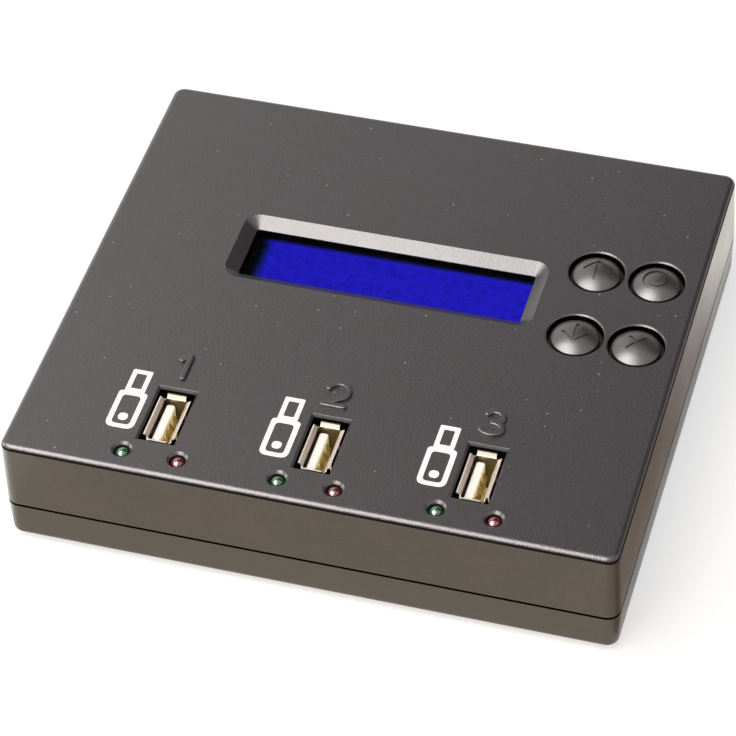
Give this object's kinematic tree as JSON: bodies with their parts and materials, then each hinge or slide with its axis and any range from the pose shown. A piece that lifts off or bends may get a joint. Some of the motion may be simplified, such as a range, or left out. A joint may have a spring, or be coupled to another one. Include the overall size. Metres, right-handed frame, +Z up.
{
  "type": "usb duplicator",
  "caption": "Desktop memory stick duplicator with upright numbered sockets, status lamps, a blue text display and round push buttons.",
  "frame": {"origin": "under the middle of the case, on the table plane that the feet rest on", "axes": "+Z up, front edge with the lamps towards -Y, +X to the right for someone facing the front"},
  "size_m": [0.139, 0.124, 0.0305],
  "materials": {
    "case_plastic": "fine matte texture",
    "foot_rubber": "matte",
    "screw_steel": "zinc plated",
    "window_clear": "clear, polished",
    "board_green": "solder mask",
    "bezel_black": "black, satin",
    "display_blue": "backlit blue",
    "diffuser_white": "translucent white",
    "strip_rubber": "layered",
    "black_nylon": "moulded",
    "tinned_metal": "tinned",
    "socket_steel": "nickel plated",
    "insulator_white": "moulded",
    "contact_gold": "gold plated",
    "led_green": "tinted clear",
    "led_red": "tinted clear",
    "button_plastic": "semi-gloss",
    "knob_plastic": "moulded",
    "chip_black": "moulded",
    "can_aluminium": "satin",
    "ink_white": "pad printed"
  },
  "bodies": {
    "case": {"top_cover": "case_plastic", "bottom_cover": "case_plastic", "case_screws": "screw_steel", "foot_1": "foot_rubber", "foot_2": "foot_rubber", "foot_3": "foot_rubber", "foot_4": "foot_rubber", "display_window": "window_clear", "main_board": "board_green", "board_screws": "screw_steel", "lcd_board": "board_green", "lcd_bezel": "bezel_black", "lcd_glass": "display_blue", "lcd_backlight": "diffuser_white", "lcd_contact_strips": "strip_rubber", "lcd_header_strip": "black_nylon", "lcd_header_pins": "tinned_metal", "lcd_screws": "screw_steel", "usb_shell_1": "socket_steel", "usb_insulator_1": "insulator_white", "usb_contacts_1": "contact_gold", "usb_shell_2": "socket_steel", "usb_insulator_2": "insulator_white", "usb_contacts_2": "contact_gold", "usb_shell_3": "socket_steel", "usb_insulator_3": "insulator_white", "usb_contacts_3": "contact_gold", "green_led_1": "led_green", "green_led_2": "led_green", "green_led_3": "led_green", "red_led_1": "led_red", "red_led_2": "led_red", "red_led_3": "led_red", "led_leads": "tinned_metal", "led_spacers": "black_nylon", "up_switch_base": "black_nylon", "enter_switch_base": "black_nylon", "down_switch_base": "black_nylon", "cancel_switch_base": "black_nylon", "switch_covers": "socket_steel", "switch_domes": "socket_steel", "switch_terminals": "tinned_metal", "dc_jack_housing": "black_nylon", "dc_jack_pin": "tinned_metal", "dc_jack_spring": "tinned_metal", "power_switch_base": "black_nylon", "power_switch_frame": "socket_steel", "controller_chip": "chip_black", "memory_chip": "chip_black", "capacitors": "can_aluminium", "crystal": "socket_steel"},
    "up_key": {"up_button": "button_plastic", "up_plunger": "black_nylon"},
    "enter_key": {"enter_button": "button_plastic", "enter_plunger": "black_nylon"},
    "down_key": {"down_button": "button_plastic", "down_plunger": "black_nylon"},
    "cancel_key": {"cancel_button": "button_plastic", "cancel_plunger": "black_nylon"},
    "power_knob": {"power_switch_knob": "knob_plastic"}
  },
  "joints": [
    {"name": "up_press", "type": "slide", "parent": "case", "child": "up_key", "axis": [0, 0, -1], "range_m": [0, 0.0004], "stiffness_N_per_m": 4000},
    {"name": "enter_press", "type": "slide", "parent": "case", "child": "enter_key", "axis": [0, 0, -1], "range_m": [0, 0.0004], "stiffness_N_per_m": 4000},
    {"name": "down_press", "type": "slide", "parent": "case", "child": "down_key", "axis": [0, 0, -1], "range_m": [0, 0.0004], "stiffness_N_per_m": 4000},
    {"name": "cancel_press", "type": "slide", "parent": "case", "child": "cancel_key", "axis": [0, 0, -1], "range_m": [0, 0.0004], "stiffness_N_per_m": 4000},
    {"name": "power_slide", "type": "slide", "parent": "case", "child": "power_knob", "axis": [1, 0, 0], "range_m": [0, 0.002]}
  ]
}
